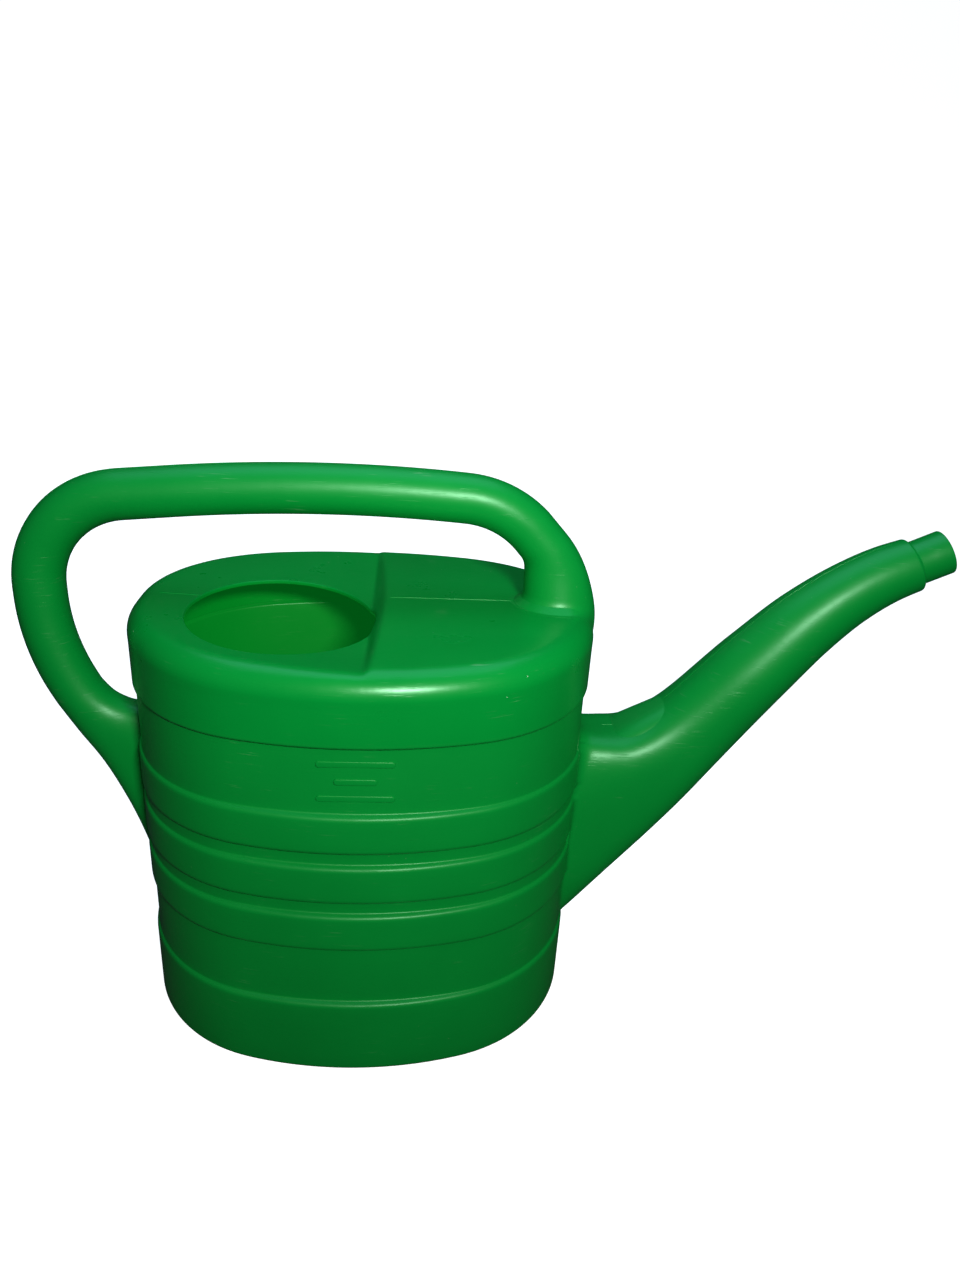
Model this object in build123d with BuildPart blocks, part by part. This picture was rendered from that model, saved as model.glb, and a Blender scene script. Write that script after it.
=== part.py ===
from build123d import *
import os
from math import atan2, copysign, cos, degrees, radians, sin, sqrt

# A ten litre garden watering can: a hollow moulding in polyethylene.
# Millimetres. Z is up, the origin is the middle of the underside, and the spout points to +X.

# Tank outline, taken at DRAFT_LEVEL on the proud bands
HALF_LENGTH = 130.0         # centre to the middle of either end
HALF_WIDTH = 104.6          # centre to the middle of either long side
END_FLAT = 5.4              # half the width of the flat strip down each end
SIDE_CROWN = 5.2            # how far the long sides bow out past the corner arcs
DRAFT = 0.01                # growth outwards for each millimetre upwards
DRAFT_LEVEL = 173.0

# Tank skin and its bands, from the floor up and from the shoulder down
WALL = 2.2
TANK_HEIGHT = 250.3         # shoulder height along the long sides
FLOOR_RADIUS = 4.0          # rounding between the underside and the wall
BASE_HEIGHT = 12.0          # the floor pan's upstand
BASE_BAND = 48.6            # top of the proud band round the foot
TOP_BAND = 39.1             # height of the proud band under the shoulder
PANEL = 39.4                # plain recess below the top band
RIB = 22.8                  # height of one rib
RIB_GAP = 8.5               # recess between two ribs
LOWER_RECESS_LEAST = 25.0   # plain recess kept between the ribs and the foot band
RIB_DEPTH = 4.0             # how far bands and ribs stand out
RIB_SLOPE = 1.4             # height of the slanted step at their edges

# Top of the tank
CROWN = 3.4                 # rise of the top across its width
SHOULDER_RADIUS = 13.0
DISH_STEP_X = 3.3           # foot of the step that ends the dished half
DISH_DROP = 7.9             # depth of the dish under the crown at that step
DISH_TILT = 3.3             # degrees by which the dish rises away from the step
DISH_RADIUS = 1300.0        # curve of the dish across the tank
STEP_RUN = 7.0              # length of the step's slope
OPENING_X = -45.5
OPENING_Y = -21.3
OPENING_HALF_LENGTH = 51.5
OPENING_HALF_WIDTH = 57.0

# Handle: a hollow loop in the middle plane. Reaches are from the tank's ends,
# rises are from the shoulder height.
GRIP_RADIUS = 14.1
GRIP_WALL = 2.0
REAR_REACH = 52.0           # middle of the upright behind the tank
REAR_ELBOW_DROP = 30.3
REAR_ELBOW_RADIUS = 125.0
TUBE_START_REACH = 36.8
TUBE_START_DROP = 60.6
REAR_BEND_RISE = 53.3
REAR_BEND_RADIUS = 54.0
GRIP_PEAK_X = -26.9
GRIP_PEAK_RISE = 68.8
GRIP_BOW_RADIUS = 930.0
FRONT_BEND_INSET = 44.1
FRONT_BEND_RISE = 60.9
FRONT_BEND_RADIUS = 58.0
TUBE_END_INSET = 27.9
TUBE_END_RISE = 32.7

# Sections of the handle's two roots beyond the tube: the middle's reach and rise, the angle of
# the centre line, and what the section is deeper and wider than the grip, both from the middle.
REAR_ROOT = (
    (27.85, -73.9, 139.0, 1.67, 0.0),
    (17.75, -85.4, 156.4, 6.52, 0.3),
    (6.9, -100.0, 169.5, 18.24, 0.9),
    (-11.0, -137.15, 177.5, 54.12, 1.4),
)
FRONT_ROOT = (
    (-21.9, 20.3, -70.9, 3.89, 0.7),
    (-20.55, 11.5, -77.1, 6.06, 2.4),
    (-20.15, 1.25, -85.3, 7.32, 4.4),
    (-24.0, -12.0, -90.0, 5.9, 5.9),
)

# Spout: reaches are from the tank's end, rises from the shoulder height
SPOUT_WALL = 2.0
SPOUT_FOOT = 50.0           # height at which its underside leaves the tank
SPOUT_UNDER_REACH = 114.8   # far end of the straight stretch of the underside
SPOUT_UNDER_RISE = -60.3
SPOUT_TIP_REACH = 188.3
SPOUT_TIP_RISE = 33.7
SPOUT_TIP_ANGLE = 25.0
SPOUT_TIP_ROUNDING = 2.0
NECK_RADIUS = 13.2
NECK_STEP = 3.1             # ledge round the neck at the spout's end
NECK_WALL = 2.2
NECK_LENGTH = 19.5
NECK_LEAD = 0.8             # rounding at the mouth of the neck

# Tall sections near the tank: share of the underside's straight stretch, sag below it, the
# upper edge point's reach and rise, half width and squareness.
SPOUT_ROOT = (
    (-0.12, 0.0, -14.0, -74.5, 30.0, 4.0),
    (0.0, 0.0, 3.0, -75.6, 30.0, 4.0),
    (0.2, -0.8, 15.0, -76.0, 30.0, 4.0),
    (0.4, 0.2, 26.5, -75.0, 29.5, 3.6),
    (0.58, 1.8, 36.0, -70.2, 28.0, 3.0),
    (0.76, 1.6, 46.8, -61.5, 25.6, 2.5),
)
# Round sections towards the tip: reach, rise, angle of the centre line and radius
SPOUT_PIPE = (
    (106.2, -31.9, 50.2, 23.8),
    (132.6, -2.9, 45.0, 21.0),
    (152.1, 13.7, 36.4, 18.9),
    (173.6, 27.2, 28.3, 17.2),
)

# Raised level bars on the front panel
MARK_HEIGHT = 0.8
MARK_STROKE = 3.6
MARK_SPACING = 10.0
MARK_LENGTHS = (40.0, 22.0, 40.0)

# Sizes that follow from those above
CORNER_RADIUS = HALF_WIDTH - END_FLAT - SIDE_CROWN
CORNER_X = HALF_LENGTH - CORNER_RADIUS
SIDE_RADIUS = ((HALF_WIDTH - END_FLAT) ** 2 + CORNER_X**2 - CORNER_RADIUS**2) / (2 * SIDE_CROWN)
SIDE_Y = HALF_WIDTH - SIDE_RADIUS
JUNCTION = degrees(atan2(END_FLAT - SIDE_Y, CORNER_X))
TOP_BAND_FOOT = TANK_HEIGHT - TOP_BAND
PANEL_FOOT = TOP_BAND_FOOT - PANEL
COVER_SEAM = TOP_BAND_FOOT + WALL + RIB_SLOPE / 2
RIB_PITCH = RIB + RIB_GAP
RIB_COUNT = int((PANEL_FOOT - BASE_BAND - LOWER_RECESS_LEAST + RIB_GAP) // RIB_PITCH)
CROWN_RADIUS = (HALF_WIDTH**2 + CROWN**2) / (2 * CROWN)
SPOUT_TIP_RADIUS = NECK_RADIUS + NECK_STEP
SECTION_POINTS = 20


def growth(z):
    """Outward offset of the proud surface at height z."""
    return DRAFT * (z - DRAFT_LEVEL)


def band_steps():
    """Each step of the outside, from the foot up: its height, and True where it goes out."""
    steps = [(BASE_BAND, False)]
    for number in reversed(range(RIB_COUNT)):
        top = PANEL_FOOT - number * RIB_PITCH
        steps += [(top - RIB, True), (top, False)]
    steps.append((TOP_BAND_FOOT, True))
    return steps


def outer_points(inset=0.0, shift=0.0):
    """The stepped side as (offset, height) points; shift moves each ledge into the bands."""
    points = []
    for height, outwards in band_steps():
        level = height + (shift if outwards else -shift)
        proud = growth(level) - inset
        ends = [proud - RIB_DEPTH, proud] if outwards else [proud, proud - RIB_DEPTH]
        points += [(ends[0], level - RIB_SLOPE / 2), (ends[1], level + RIB_SLOPE / 2)]
    return points


def ring(draw_profile):
    """Carry a profile, drawn as (offset, height) lines, once round the tank."""
    turn = radians(JUNCTION)
    radial = (cos(turn), sin(turn), 0)
    tangent = (sin(turn), -cos(turn), 0)
    side_start = (SIDE_RADIUS * cos(turn), SIDE_Y + SIDE_RADIUS * sin(turn), 0)
    end_plane = Plane(origin=(HALF_LENGTH, 0, 0), x_dir=(1, 0, 0), z_dir=(0, -1, 0))
    side_plane = Plane(origin=side_start, x_dir=radial, z_dir=tangent)
    with BuildPart() as band:
        with BuildSketch(end_plane):
            with BuildLine():
                draw_profile()
            make_face()
        extrude(amount=-END_FLAT)
        with BuildSketch(end_plane.offset(-END_FLAT)):
            with BuildLine():
                draw_profile()
            make_face()
        revolve(axis=Axis((CORNER_X, END_FLAT, 0), (0, 0, 1)), revolution_arc=JUNCTION)
        with BuildSketch(side_plane):
            with BuildLine():
                draw_profile()
            make_face()
        revolve(axis=Axis((0, SIDE_Y, 0), (0, 0, 1)), revolution_arc=90 - JUNCTION)
        mirror(about=Plane.YZ)
        mirror(about=Plane.XZ)
    return band.part


def oval(offset):
    """The tank's outline, moved outwards by offset."""
    with BuildSketch() as outline:
        with BuildLine():
            Line((HALF_LENGTH + offset, -END_FLAT), (HALF_LENGTH + offset, END_FLAT))
            CenterArc((CORNER_X, END_FLAT), CORNER_RADIUS + offset, 0, JUNCTION)
            CenterArc((0, SIDE_Y), SIDE_RADIUS + offset, JUNCTION, 180 - 2 * JUNCTION)
            CenterArc((-CORNER_X, END_FLAT), CORNER_RADIUS + offset, 180 - JUNCTION, JUNCTION)
            Line((-HALF_LENGTH - offset, END_FLAT), (-HALF_LENGTH - offset, -END_FLAT))
            CenterArc((-CORNER_X, -END_FLAT), CORNER_RADIUS + offset, 180, JUNCTION)
            CenterArc((0, -SIDE_Y), SIDE_RADIUS + offset, 180 + JUNCTION, 180 - 2 * JUNCTION)
            CenterArc((CORNER_X, -END_FLAT), CORNER_RADIUS + offset, -JUNCTION, JUNCTION)
        make_face()
    return outline.sketch


def lofted(rows, wall, squared):
    """Loft through sections across the middle plane, each thinned by one wall all round.

    A row holds the section's lower and upper edge points, its half width and its squareness,
    which is 2 for an ellipse and more for flatter sides.
    """
    with BuildPart() as tube:
        for lower, upper, half_width, squareness in rows:
            dx = upper[0] - lower[0]
            dz = upper[1] - lower[1]
            rise = sqrt(dx * dx + dz * dz) / 2 - wall
            spread = half_width - wall
            centre = ((lower[0] + upper[0]) / 2, 0, (lower[1] + upper[1]) / 2)
            points = []
            for number in range(SECTION_POINTS):
                turn = radians(360 * number / SECTION_POINTS)
                side = copysign(abs(cos(turn)) ** (2 / squareness), cos(turn))
                up = copysign(abs(sin(turn)) ** (2 / squareness), sin(turn))
                points.append((spread * side, rise * up))
            with BuildSketch(Plane(origin=centre, x_dir=(0, 1, 0), z_dir=(dz, 0, -dx))):
                if squared:
                    with BuildLine():
                        Spline(points, periodic=True)
                    make_face()
                else:
                    Ellipse(spread, rise)
        loft()
    return tube.part


def round_row(x, z, angle, radius):
    """A round section about the point (x, z), square to a centre line at the given angle."""
    side = sin(radians(angle)) * radius
    up = cos(radians(angle)) * radius
    return ((x + side, z - up), (x - side, z + up), radius, 2.0)


def spout_rows():
    """The spout's sections from inside the tank to its tip."""
    foot = (HALF_LENGTH, SPOUT_FOOT)
    far = (HALF_LENGTH + SPOUT_UNDER_REACH, TANK_HEIGHT + SPOUT_UNDER_RISE)
    rows = []
    for share, sag, reach, rise, half_width, squareness in SPOUT_ROOT:
        under_x = foot[0] + share * (far[0] - foot[0])
        under_z = foot[1] + share * (far[1] - foot[1]) - sag
        upper = (HALF_LENGTH + reach, TANK_HEIGHT + rise)
        rows.append(((under_x, under_z), upper, half_width, squareness))
    for reach, rise, angle, radius in SPOUT_PIPE:
        rows.append(round_row(HALF_LENGTH + reach, TANK_HEIGHT + rise, angle, radius))
    return rows


def spout_tip(back):
    """The middle of the spout's end, or the point that lies back behind it."""
    turn = radians(SPOUT_TIP_ANGLE)
    return (
        HALF_LENGTH + SPOUT_TIP_REACH - back * cos(turn),
        TANK_HEIGHT + SPOUT_TIP_RISE - back * sin(turn),
    )


def build_spout(wall):
    """The spout's solid; as the bore it is thinned by a wall and stops one wall short."""
    tip = spout_tip(wall)
    end = round_row(*tip, SPOUT_TIP_ANGLE, SPOUT_TIP_RADIUS)
    return lofted([*spout_rows(), end], wall, squared=True)


def handle_corners():
    """Corner points of the grip's centre line, from the rear of the tank to the front."""
    return (
        (-HALF_LENGTH - TUBE_START_REACH, TANK_HEIGHT - TUBE_START_DROP),
        (-HALF_LENGTH - REAR_REACH, TANK_HEIGHT - REAR_ELBOW_DROP),
        (-HALF_LENGTH - REAR_REACH, TANK_HEIGHT + REAR_BEND_RISE),
        (GRIP_PEAK_X, TANK_HEIGHT + GRIP_PEAK_RISE),
        (HALF_LENGTH - FRONT_BEND_INSET, TANK_HEIGHT + FRONT_BEND_RISE),
        (HALF_LENGTH - TUBE_END_INSET, TANK_HEIGHT + TUBE_END_RISE),
    )


def root_rows(sections, end, tube_end, wall):
    """Rows of one root, from the tube's end to the last section, which lies in the tank.

    end is -1 at the rear and 1 at the front. As the bore, the last row lies a wall further in.
    """
    rows = [tube_end]
    for reach, rise, angle, deeper, wider in sections:
        middle = (end * (HALF_LENGTH + reach), TANK_HEIGHT + rise)
        inner, outer, radius, squareness = round_row(*middle, angle, GRIP_RADIUS + deeper)
        rows.append((outer, inner, GRIP_RADIUS + wider, squareness))
    across = end < 0
    outer, inner, half_width, squareness = rows.pop()
    step = (wall, 0.0) if across else (0.0, -wall)
    outer = (outer[0] + step[0], outer[1] + step[1])
    inner = (inner[0] + step[0], inner[1] + step[1])
    rows.append((outer, inner, half_width, squareness))
    return rows


def direction(start, end):
    """Angle of the line from start to end, in degrees."""
    return degrees(atan2(end[1] - start[1], end[0] - start[0]))


def build_handle(wall):
    """The grip's tube and its two roots, thinned by a wall when they are the bore."""
    corners = handle_corners()
    radii = [REAR_ELBOW_RADIUS, REAR_BEND_RADIUS, GRIP_BOW_RADIUS, FRONT_BEND_RADIUS]
    first = round_row(*corners[0], direction(corners[0], corners[1]), GRIP_RADIUS)
    last = round_row(*corners[-1], direction(corners[-2], corners[-1]), GRIP_RADIUS)
    rear_rows = root_rows(REAR_ROOT, -1, first, wall)
    front_rows = root_rows(FRONT_ROOT, 1, last, wall)
    turn = radians(direction(corners[0], corners[1]))
    start = (corners[0][0], 0, corners[0][1])
    with BuildPart() as loop:
        with BuildLine(Plane.XZ):
            path = FilletPolyline(*corners, radius=radii)
        with BuildSketch(Plane(origin=start, x_dir=(0, 1, 0), z_dir=(cos(turn), 0, sin(turn)))):
            Circle(GRIP_RADIUS - wall)
        sweep(path=path)
        add(lofted(rear_rows, wall, squared=False))
        add(lofted(front_rows, wall, squared=False))
    return loop.part


def cover_body(inset):
    """The top of the tank as a solid: walls, crown and shoulder, inset by a wall."""
    foot = COVER_SEAM
    peak = TANK_HEIGHT + CROWN - inset
    wide = 2 * HALF_WIDTH
    fall = CROWN_RADIUS - sqrt(CROWN_RADIUS**2 - wide**2)
    with BuildPart() as body:
        with BuildSketch(Plane.XY.offset(foot)):
            add(oval(growth(foot) - inset))
        extrude(amount=TANK_HEIGHT - foot + CROWN, taper=-degrees(atan2(DRAFT, 1)))
        with BuildSketch(Plane.YZ.offset(-2 * HALF_LENGTH)):
            with BuildLine():
                ThreePointArc((-wide, peak - fall), (0, peak), (wide, peak - fall))
                Polyline((wide, peak - fall), (wide, 0), (-wide, 0), (-wide, peak - fall))
            make_face()
        extrude(amount=4 * HALF_LENGTH, mode=Mode.INTERSECT)
        crown_face = faces().sort_by(Axis.Z)[-1]
        fillet(crown_face.edges(), radius=SHOULDER_RADIUS - inset)
    return body.part


def build_dish(inset):
    """What is taken away over the dished half of the top, lowered by a wall for the inside."""
    low = TANK_HEIGHT + CROWN - DISH_DROP - inset
    step_x = DISH_STEP_X + inset
    reach = 2 * HALF_LENGTH
    above = low + DISH_DROP + reach * sin(radians(DISH_TILT))
    ramp_top = step_x + STEP_RUN * (above - low) / DISH_DROP
    with BuildPart() as hollow:
        with BuildSketch(Plane.XZ):
            with BuildLine():
                Polyline(
                    (step_x, low),
                    (ramp_top, above),
                    (step_x - reach, above),
                    (step_x - reach, low + reach * sin(radians(DISH_TILT))),
                    close=True,
                )
            make_face()
        revolve(axis=Axis((0, 0, low + DISH_RADIUS), (1, 0, 0)), revolution_arc=8)
        mirror(about=Plane.XZ)
    return hollow.part


def outside_profile():
    """Half of the tank's outside below the cover, closed well inside the wall."""
    foot = growth(0)
    core = -CORNER_RADIUS / 4
    RadiusArc((foot - FLOOR_RADIUS, 0), (foot, FLOOR_RADIUS), -FLOOR_RADIUS)
    Polyline(
        (foot, FLOOR_RADIUS),
        *outer_points(),
        (growth(COVER_SEAM), COVER_SEAM),
        (core, COVER_SEAM),
        (core, 0),
        (foot - FLOOR_RADIUS, 0),
    )


def pan_profile():
    """The floor pan's rounded corner and upstand."""
    foot = growth(0)
    rim = growth(BASE_HEIGHT)
    core = -CORNER_RADIUS / 4
    RadiusArc((foot - FLOOR_RADIUS, 0), (foot, FLOOR_RADIUS), -FLOOR_RADIUS)
    Polyline(
        (foot, FLOOR_RADIUS),
        (rim, BASE_HEIGHT),
        (rim - WALL, BASE_HEIGHT),
        (foot - WALL, FLOOR_RADIUS),
    )
    RadiusArc((foot - WALL, FLOOR_RADIUS), (foot - FLOOR_RADIUS, WALL), FLOOR_RADIUS - WALL)
    Polyline((foot - FLOOR_RADIUS, WALL), (core, WALL), (core, 0), (foot - FLOOR_RADIUS, 0))


def wall_profile():
    """The side wall from the floor pan to the ledge that carries the top."""
    foot = growth(BASE_HEIGHT)
    inside = outer_points(inset=WALL, shift=WALL)
    Polyline(
        (foot, BASE_HEIGHT),
        *outer_points(),
        (growth(COVER_SEAM), COVER_SEAM),
        (inside[-2][0], COVER_SEAM),
        *reversed(inside[:-1]),
        (foot - WALL, BASE_HEIGHT),
        close=True,
    )


def mark_profile():
    """A thin skin on the front panel, as thick as the marks stand out."""
    low = PANEL_FOOT + RIB_SLOPE / 2
    high = TOP_BAND_FOOT - RIB_SLOPE / 2
    skin_low = growth(PANEL_FOOT) - RIB_DEPTH
    skin_high = growth(TOP_BAND_FOOT) - RIB_DEPTH
    Polyline(
        (skin_low, low),
        (skin_low + MARK_HEIGHT, low),
        (skin_high + MARK_HEIGHT, high),
        (skin_high, high),
        close=True,
    )


# Forms that the pieces are cut with: the tank's outside and the hollows

with BuildPart() as wall_form:
    add(ring(outside_profile))
    with BuildSketch():
        add(oval(-CORNER_RADIUS / 5))
    extrude(amount=COVER_SEAM)

with BuildPart() as cover_form:
    add(cover_body(0))
    add(build_dish(0), mode=Mode.SUBTRACT)

with BuildPart() as cover_hollow:
    add(cover_body(WALL))
    add(build_dish(WALL), mode=Mode.SUBTRACT)

spout_bore = build_spout(SPOUT_WALL)
handle_bore = build_handle(GRIP_WALL)

TIP = spout_tip(0)
TIP_PLANE = Plane(
    origin=(TIP[0], 0, TIP[1]),
    x_dir=(0, 1, 0),
    z_dir=(cos(radians(SPOUT_TIP_ANGLE)), 0, sin(radians(SPOUT_TIP_ANGLE))),
)

# Floor pan: the flat underside, its rounded corner and a short upstand

with BuildPart() as tank_base:
    add(ring(pan_profile))
    with BuildSketch():
        add(oval(-CORNER_RADIUS / 5))
    extrude(amount=WALL)

# Side wall: foot band, lower recess, ribs and front panel

with BuildPart() as tank_wall:
    add(ring(wall_profile))
    add(spout_bore, mode=Mode.SUBTRACT)
    add(handle_bore, mode=Mode.SUBTRACT)

# Top: shoulder, crowned top, dished half and the fill opening

with BuildPart() as top_cover:
    add(cover_form.part)
    add(cover_hollow.part, mode=Mode.SUBTRACT)
    with BuildSketch(Plane.XY.offset(TANK_HEIGHT - 2 * SHOULDER_RADIUS)):
        with Locations((OPENING_X, OPENING_Y)):
            Ellipse(OPENING_HALF_LENGTH, OPENING_HALF_WIDTH)
    extrude(amount=4 * SHOULDER_RADIUS, mode=Mode.SUBTRACT)
    add(handle_bore, mode=Mode.SUBTRACT)

# Handle: a hollow tube whose roots open into the tank

with BuildPart() as handle:
    add(build_handle(0))
    add(handle_bore, mode=Mode.SUBTRACT)
    add(wall_form.part, mode=Mode.SUBTRACT)
    add(cover_form.part, mode=Mode.SUBTRACT)

# Spout: tall and flat sided at the tank, round towards its closed end

with BuildPart() as spout:
    add(build_spout(0))
    fillet(faces().sort_by(Axis.X)[-1].edges(), radius=SPOUT_TIP_ROUNDING)
    add(spout_bore, mode=Mode.SUBTRACT)
    with BuildSketch(TIP_PLANE):
        Circle(NECK_RADIUS - NECK_WALL)
    extrude(amount=-2 * SPOUT_WALL, mode=Mode.SUBTRACT)
    add(wall_form.part, mode=Mode.SUBTRACT)

# Neck: the short pipe that a rose pushes onto

with BuildPart() as spout_neck:
    with BuildSketch(TIP_PLANE):
        Circle(NECK_RADIUS)
        Circle(NECK_RADIUS - NECK_WALL, mode=Mode.SUBTRACT)
    extrude(amount=NECK_LENGTH)
    mouth_edges = edges().filter_by(GeomType.CIRCLE).sort_by(Axis.X)[-2:]
    fillet(mouth_edges.sort_by(SortBy.RADIUS)[-1], radius=NECK_LEAD)

# Level marks: three raised bars on the front panel

with BuildPart() as level_marks:
    add(ring(mark_profile))
    middle_height = (PANEL_FOOT + TOP_BAND_FOOT) / 2
    with BuildSketch(Plane.XZ.offset(HALF_WIDTH / 2)):
        for number, length in enumerate(MARK_LENGTHS):
            with Locations((0, middle_height + (number - 1) * MARK_SPACING)):
                SlotOverall(length, MARK_STROKE)
    extrude(amount=HALF_WIDTH, mode=Mode.INTERSECT)

os.makedirs("parts", exist_ok=True)

tank_base.part.label = "tank_base"
export_step(tank_base.part, "parts/tank_base.step")

tank_wall.part.label = "tank_wall"
export_step(tank_wall.part, "parts/tank_wall.step")

top_cover.part.label = "top_cover"
export_step(top_cover.part, "parts/top_cover.step")

handle.part.label = "handle"
export_step(handle.part, "parts/handle.step")

spout.part.label = "spout"
export_step(spout.part, "parts/spout.step")

spout_neck.part.label = "spout_neck"
export_step(spout_neck.part, "parts/spout_neck.step")

level_marks.part.label = "level_marks"
export_step(level_marks.part, "parts/level_marks.step")
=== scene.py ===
from math import atan2, cos, pi, radians, sin, sqrt

import bpy
import numpy as np
from mathutils import Matrix, Vector


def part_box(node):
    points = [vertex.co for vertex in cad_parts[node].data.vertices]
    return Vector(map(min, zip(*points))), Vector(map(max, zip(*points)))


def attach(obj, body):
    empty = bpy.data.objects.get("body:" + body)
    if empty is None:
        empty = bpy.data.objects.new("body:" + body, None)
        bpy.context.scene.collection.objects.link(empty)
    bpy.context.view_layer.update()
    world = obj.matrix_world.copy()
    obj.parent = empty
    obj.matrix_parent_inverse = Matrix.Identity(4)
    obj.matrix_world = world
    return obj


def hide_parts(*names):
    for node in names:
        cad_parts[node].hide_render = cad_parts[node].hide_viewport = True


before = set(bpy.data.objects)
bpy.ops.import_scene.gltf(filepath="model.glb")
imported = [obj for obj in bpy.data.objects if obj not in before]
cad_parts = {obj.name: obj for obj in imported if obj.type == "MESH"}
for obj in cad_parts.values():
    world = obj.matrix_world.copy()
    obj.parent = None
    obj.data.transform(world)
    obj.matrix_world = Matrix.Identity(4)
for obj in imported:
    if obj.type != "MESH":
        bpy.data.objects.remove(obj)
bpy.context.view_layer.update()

# ---------------------------------------------------------------------------------------------
# Studio: a pale floor that curves up behind the can, a small light by the camera for the narrow
# highlights, a broad light overhead, and the camera, a little above the can and looking down.
# ---------------------------------------------------------------------------------------------
scene = bpy.context.scene
scene.view_settings.view_transform = "Standard"

CAMERA_PLACE = Vector((0.0252, -0.5214, 0.4457))
CAMERA_FORWARD = Vector((0.0731, 0.9206, -0.3835))
CAMERA_RIGHT = Vector((0.9970, -0.0572, 0.0528))
camera_data = bpy.data.cameras.new("studio_camera")
camera_data.sensor_width = 36.0
camera_data.lens = 27.03
camera = bpy.data.objects.new("studio_camera", camera_data)
ahead = CAMERA_FORWARD.normalized()
sideways = (CAMERA_RIGHT - ahead * CAMERA_RIGHT.dot(ahead)).normalized()
upwards = sideways.cross(ahead)
camera.matrix_world = Matrix(
    (
        (sideways.x, upwards.x, -ahead.x, CAMERA_PLACE.x),
        (sideways.y, upwards.y, -ahead.y, CAMERA_PLACE.y),
        (sideways.z, upwards.z, -ahead.z, CAMERA_PLACE.z),
        (0, 0, 0, 1),
    )
)
scene.collection.objects.link(camera)
scene.camera = camera


def soft_light(name, place, target, size, power, colour=(1, 1, 1), spread=180, gleams=True):
    """A rectangular area light that points at a target."""
    data = bpy.data.lights.new(name, "AREA")
    data.shape = "RECTANGLE"
    data.size, data.size_y = size
    data.energy = power
    data.color = colour
    data.spread = radians(spread)
    lamp = bpy.data.objects.new(name, data)
    lamp.location = place
    lamp.visible_glossy = gleams
    lamp.rotation_mode = "QUATERNION"
    lamp.rotation_quaternion = (Vector(target) - Vector(place)).to_track_quat("-Z", "Y")
    scene.collection.objects.link(lamp)


soft_light("key_light", (0.16, -0.72, 0.62), (0.03, 0.0, 0.37), (0.12, 0.07), 1.85, spread=88)
soft_light("top_light", (0.0, 0.25, 1.9), (0.02, 0.0, 0.2), (1.7, 1.3), 10.0, (0.45, 0.84, 1.30))
soft_light("back_light", (-0.4, 1.5, 1.15), (0.0, 0.0, 0.2), (1.1, 0.7), 7.0, (0.75, 0.92, 1.0), gleams=False)


def ray_switch(tree, ray, otherwise, seen):
    """A shader that is seen by one kind of ray and another one by the rest."""
    rays = tree.nodes.new("ShaderNodeLightPath")
    mix = tree.nodes.new("ShaderNodeMixShader")
    tree.links.new(rays.outputs[ray], mix.inputs["Fac"])
    tree.links.new(otherwise, mix.inputs[1])
    tree.links.new(seen, mix.inputs[2])
    return mix.outputs["Shader"]


def glow(tree, colour, strength):
    """A background shader."""
    node = tree.nodes.new("ShaderNodeBackground")
    node.inputs["Color"].default_value = (*colour, 1)
    node.inputs["Strength"].default_value = strength
    return node.outputs["Background"]


world = bpy.data.worlds.new("studio_world")
scene.world = world
world.use_nodes = True
world.node_tree.nodes.clear()
world_out = world.node_tree.nodes.new("ShaderNodeOutputWorld")
diffuse_room = glow(world.node_tree, (0.93, 0.97, 1.0), 0.13)
dark_room = glow(world.node_tree, (0.60, 0.93, 1.0), 0.03)
white_room = glow(world.node_tree, (1.0, 1.0, 1.0), 0.98)
room = ray_switch(world.node_tree, "Is Glossy Ray", diffuse_room, dark_room)
room = ray_switch(world.node_tree, "Is Camera Ray", room, white_room)
world.node_tree.links.new(room, world_out.inputs["Surface"])

FLOOR_REACH = 3.0
SWEEP_RADIUS = 1.2
sweep_line = [(-FLOOR_REACH, 0.0), (0.0, 0.0)]
for step in range(1, 25):
    turn = pi / 2 * step / 24
    sweep_line.append((1.0 + SWEEP_RADIUS * sin(turn), SWEEP_RADIUS * (1 - cos(turn))))
sweep_line.append((1.0 + SWEEP_RADIUS, 5.0))
floor_points = []
for place_y, place_z in sweep_line:
    floor_points += [(-2 * FLOOR_REACH, place_y, place_z), (2 * FLOOR_REACH, place_y, place_z)]
floor_faces = [(2 * n, 2 * n + 1, 2 * n + 3, 2 * n + 2) for n in range(len(sweep_line) - 1)]
floor_mesh = bpy.data.meshes.new("studio_floor")
floor_mesh.from_pydata(floor_points, [], floor_faces)
floor_mesh.shade_smooth()
floor = bpy.data.objects.new("studio_floor", floor_mesh)
scene.collection.objects.link(floor)
floor_paint = bpy.data.materials.new("floor_paint")
floor_paint.use_nodes = True
paint_tree = floor_paint.node_tree
paint = paint_tree.nodes["Principled BSDF"]
paint.inputs["Base Color"].default_value = (0.05, 0.05, 0.05, 1)
paint.inputs["Roughness"].default_value = 0.9
paint.inputs["Specular IOR Level"].default_value = 0.0
pale = paint_tree.nodes.new("ShaderNodeBsdfDiffuse")
pale.inputs["Color"].default_value = (0.82, 0.82, 0.82, 1)
lit = paint_tree.nodes.new("ShaderNodeEmission")
lit.inputs["Color"].default_value = (1, 1, 1, 1)
lit.inputs["Strength"].default_value = 0.90
pale_lit = paint_tree.nodes.new("ShaderNodeAddShader")
paint_tree.links.new(pale.outputs["BSDF"], pale_lit.inputs[0])
paint_tree.links.new(lit.outputs["Emission"], pale_lit.inputs[1])
floor_look = ray_switch(paint_tree, "Is Camera Ray", paint.outputs["BSDF"], pale_lit.outputs["Shader"])
paint_tree.links.new(floor_look, paint_tree.nodes["Material Output"].inputs["Surface"])
floor_mesh.materials.append(floor_paint)

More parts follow.
